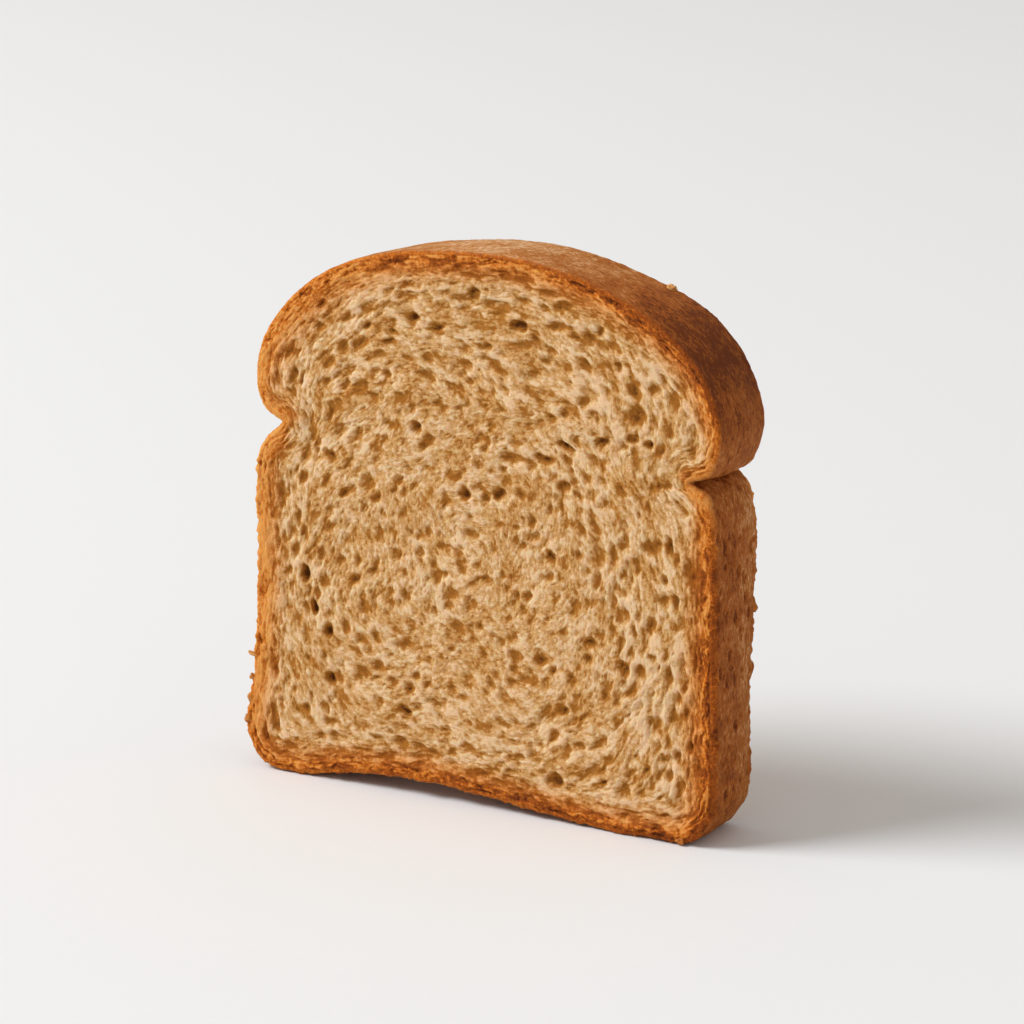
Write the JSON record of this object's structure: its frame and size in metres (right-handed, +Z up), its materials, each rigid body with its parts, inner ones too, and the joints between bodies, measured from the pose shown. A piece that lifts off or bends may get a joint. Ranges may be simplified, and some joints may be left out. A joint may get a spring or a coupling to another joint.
{
  "type": "whole wheat toast slice",
  "caption": "Thick slice of toasted whole wheat sandwich bread with a domed top, a fold in each side and an arched base, standing upright on its bottom crust.",
  "frame": {"origin": "bottom centre of the slice's box, on the surface it stands on", "axes": "+X across the slice, +Y from the cut face seen first to the other cut face, +Z up from the bottom crust to the domed crown"},
  "size_m": [0.1152, 0.0192, 0.1179],
  "materials": {
    "toasted_crumb": "matte, dry toasted crumb with a browner crust round the rim"
  },
  "bodies": {
    "root": {"toast_slice": "toasted_crumb"}
  },
  "joints": []
}
